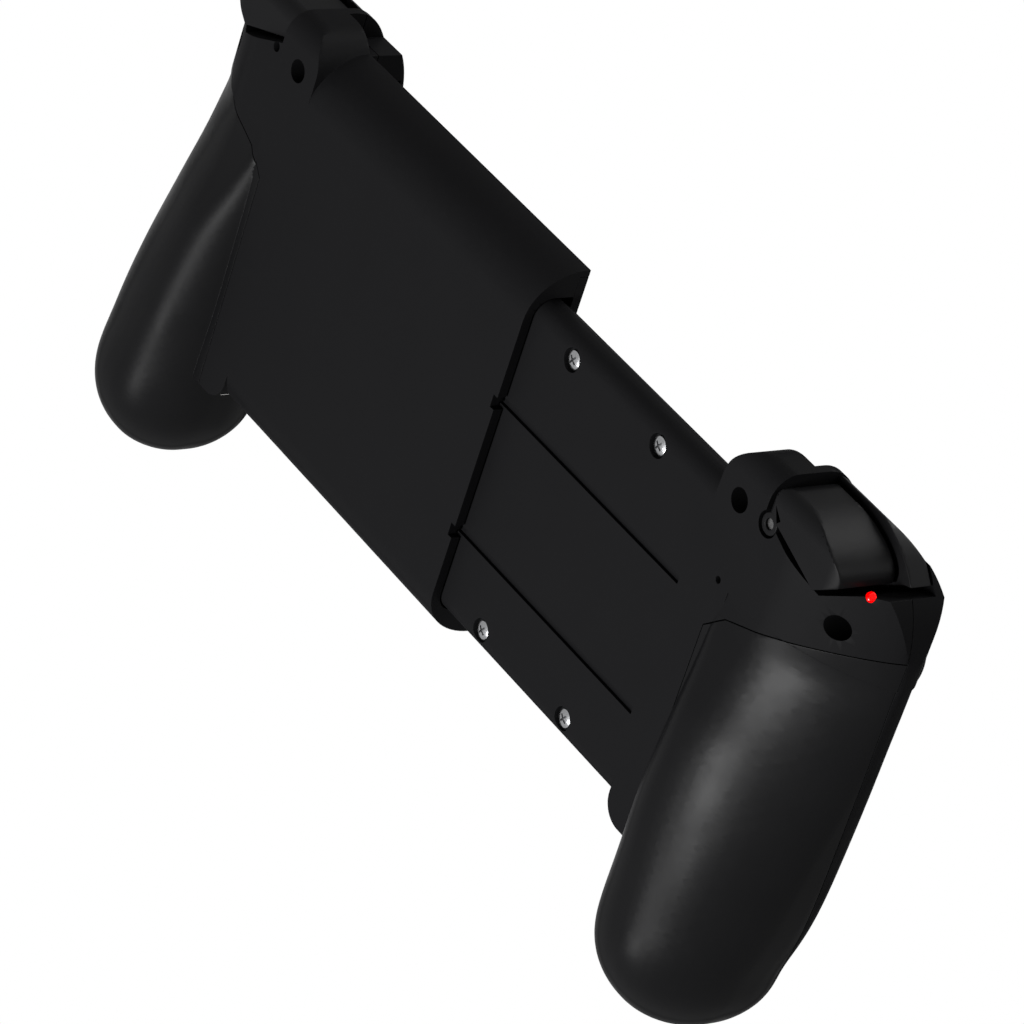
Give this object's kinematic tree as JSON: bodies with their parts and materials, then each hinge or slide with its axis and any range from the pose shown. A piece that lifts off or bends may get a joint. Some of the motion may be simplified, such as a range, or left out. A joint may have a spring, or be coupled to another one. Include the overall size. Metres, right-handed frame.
{
  "type": "game controller",
  "caption": "Telescopic game controller: a flat tray slides in a sleeve, so that its handles with sticks, pad, buttons, bumpers and triggers hold a phone between them.",
  "frame": {"origin": "on the surface that the controller lies on, under the middle of its box, with its handles drawn apart as in the picture", "axes": "+X towards the user's right hand along the sleeve, +Y towards the triggers, +Z out of the side with the sticks"},
  "size_m": [0.224, 0.1064, 0.0428],
  "materials": {
    "housing": "matte moulded plastic",
    "grip": "satin soft-touch coat",
    "control": "satin moulded plastic",
    "stick_rubber": "moulded rubber",
    "pad": "soft pad",
    "membrane": "silicone",
    "screw": "bright zinc",
    "spring": "wire",
    "board": "solder mask",
    "inner": "moulded plastic",
    "cell": "foil pouch",
    "socket": "drawn steel shell",
    "ribbon": "polyimide film",
    "lamp": "clear red"
  },
  "bodies": {
    "right_module": {"sleeve_housing": "housing", "sleeve_bed_plate": "housing", "right_front_housing": "housing", "right_grip_cover": "grip", "right_jaw_pad": "pad", "right_shoulder_pin": "spring", "right_trigger_spring": "spring", "right_bumper_switch": "inner", "right_case_screws": "screw", "right_circuit_board": "board", "right_stick_base": "socket", "face_membrane": "membrane", "battery_cell": "cell", "charging_socket": "socket", "link_ribbon": "ribbon"},
    "left_module": {"tray_housing": "housing", "tray_cover": "housing", "tray_screws": "screw", "left_front_housing": "housing", "left_grip_cover": "grip", "left_jaw_pad": "pad", "left_shoulder_pin": "spring", "left_trigger_spring": "spring", "left_bumper_switch": "inner", "left_case_screws": "screw", "left_circuit_board": "board", "left_stick_base": "socket", "dpad_membrane": "membrane", "status_lamp": "lamp", "reset_switch": "inner"},
    "dpad_cap": {"dpad_cap": "control"},
    "dpad_pivot": {"dpad_pivot": "inner"},
    "right_trigger": {"right_trigger": "control"},
    "right_bumper": {"right_bumper": "control"},
    "right_stick_yoke": {"right_stick_yoke": "inner"},
    "right_stick_post": {"right_stick_post": "inner"},
    "right_stick_cap": {"right_stick_cap": "stick_rubber"},
    "left_trigger": {"left_trigger": "control"},
    "left_bumper": {"left_bumper": "control"},
    "left_stick_yoke": {"left_stick_yoke": "inner"},
    "left_stick_post": {"left_stick_post": "inner"},
    "left_stick_cap": {"left_stick_cap": "stick_rubber"},
    "face_button_top": {"face_button_top": "control"},
    "face_button_bottom": {"face_button_bottom": "control"},
    "face_button_inner": {"face_button_inner": "control"},
    "face_button_outer": {"face_button_outer": "control"},
    "menu_button": {"menu_button": "control"},
    "home_button": {"home_button": "control"},
    "view_button": {"view_button": "control"},
    "share_button": {"share_button": "control"}
  },
  "joints": [
    {"name": "module_slide", "type": "slide", "parent": "right_module", "child": "left_module", "axis": [1, 0, 0], "range_m": [-0.008, 0.057], "deforming": ["link_ribbon"]},
    {"name": "right_trigger_pull", "type": "hinge", "parent": "right_module", "child": "right_trigger", "pos_m": [0.0824, 0.04434, 0.02106], "axis": [0, 0, 1], "range_deg": [-4.5, 0], "stiffness_Nm_per_rad": 0.12, "springref_deg": 4.58, "deforming": ["right_trigger_spring"]},
    {"name": "right_bumper_pull", "type": "hinge", "parent": "right_module", "child": "right_bumper", "pos_m": [0.0824, 0.04434, 0.02106], "axis": [0, 0, 1], "range_deg": [-3, 0], "stiffness_Nm_per_rad": 0.15, "springref_deg": 4.58},
    {"name": "right_stick_tilt_y", "type": "hinge", "parent": "right_module", "child": "right_stick_yoke", "pos_m": [0.091, -0.00876, 0.02771], "axis": [1, 0, 0], "range_deg": [-15, 15], "stiffness_Nm_per_rad": 0.03},
    {"name": "right_stick_tilt_x", "type": "hinge", "parent": "right_stick_yoke", "child": "right_stick_post", "pos_m": [0.091, -0.00876, 0.02771], "axis": [0, 1, 0], "range_deg": [-15, 15], "stiffness_Nm_per_rad": 0.03},
    {"name": "right_stick_click", "type": "slide", "parent": "right_stick_post", "child": "right_stick_cap", "axis": [0, 0, 1], "range_m": [-0.0005, 0], "stiffness_N_per_m": 3000, "springref_m": 0.0006},
    {"name": "left_trigger_pull", "type": "hinge", "parent": "left_module", "child": "left_trigger", "pos_m": [-0.0824, 0.04434, 0.02106], "axis": [0, 0, 1], "range_deg": [0, 4.5], "stiffness_Nm_per_rad": 0.12, "springref_deg": -4.58, "deforming": ["left_trigger_spring"]},
    {"name": "left_bumper_pull", "type": "hinge", "parent": "left_module", "child": "left_bumper", "pos_m": [-0.0824, 0.04434, 0.02106], "axis": [0, 0, 1], "range_deg": [0, 3], "stiffness_Nm_per_rad": 0.15, "springref_deg": -4.58},
    {"name": "left_stick_tilt_y", "type": "hinge", "parent": "left_module", "child": "left_stick_yoke", "pos_m": [-0.091, 0.02224, 0.02771], "axis": [1, 0, 0], "range_deg": [-15, 15], "stiffness_Nm_per_rad": 0.03},
    {"name": "left_stick_tilt_x", "type": "hinge", "parent": "left_stick_yoke", "child": "left_stick_post", "pos_m": [-0.091, 0.02224, 0.02771], "axis": [0, 1, 0], "range_deg": [-15, 15], "stiffness_Nm_per_rad": 0.03},
    {"name": "left_stick_click", "type": "slide", "parent": "left_stick_post", "child": "left_stick_cap", "axis": [0, 0, 1], "range_m": [-0.0005, 0], "stiffness_N_per_m": 3000, "springref_m": 0.0006},
    {"name": "face_button_top_press", "type": "slide", "parent": "right_module", "child": "face_button_top", "axis": [0, 0, 1], "range_m": [-0.0012, 0], "stiffness_N_per_m": 500, "springref_m": 0.001},
    {"name": "face_button_bottom_press", "type": "slide", "parent": "right_module", "child": "face_button_bottom", "axis": [0, 0, 1], "range_m": [-0.0012, 0], "stiffness_N_per_m": 500, "springref_m": 0.001},
    {"name": "face_button_inner_press", "type": "slide", "parent": "right_module", "child": "face_button_inner", "axis": [0, 0, 1], "range_m": [-0.0012, 0], "stiffness_N_per_m": 500, "springref_m": 0.001},
    {"name": "face_button_outer_press", "type": "slide", "parent": "right_module", "child": "face_button_outer", "axis": [0, 0, 1], "range_m": [-0.0012, 0], "stiffness_N_per_m": 500, "springref_m": 0.001},
    {"name": "menu_button_press", "type": "slide", "parent": "right_module", "child": "menu_button", "axis": [0, 0, 1], "range_m": [-0.0008, 0], "stiffness_N_per_m": 700, "springref_m": 0.0008},
    {"name": "home_button_press", "type": "slide", "parent": "right_module", "child": "home_button", "axis": [0, 0, 1], "range_m": [-0.0008, 0], "stiffness_N_per_m": 700, "springref_m": 0.0008},
    {"name": "view_button_press", "type": "slide", "parent": "left_module", "child": "view_button", "axis": [0, 0, 1], "range_m": [-0.0008, 0], "stiffness_N_per_m": 700, "springref_m": 0.0008},
    {"name": "share_button_press", "type": "slide", "parent": "left_module", "child": "share_button", "axis": [0, 0, 1], "range_m": [-0.0008, 0], "stiffness_N_per_m": 700, "springref_m": 0.0008},
    {"name": "dpad_rock_y", "type": "hinge", "parent": "left_module", "child": "dpad_pivot", "pos_m": [-0.091, -0.00726, 0.02831], "axis": [1, 0, 0], "range_deg": [-4, 4], "stiffness_Nm_per_rad": 0.05},
    {"name": "dpad_rock_x", "type": "hinge", "parent": "dpad_pivot", "child": "dpad_cap", "pos_m": [-0.091, -0.00726, 0.02831], "axis": [0, 1, 0], "range_deg": [-4, 4], "stiffness_Nm_per_rad": 0.05}
  ]
}
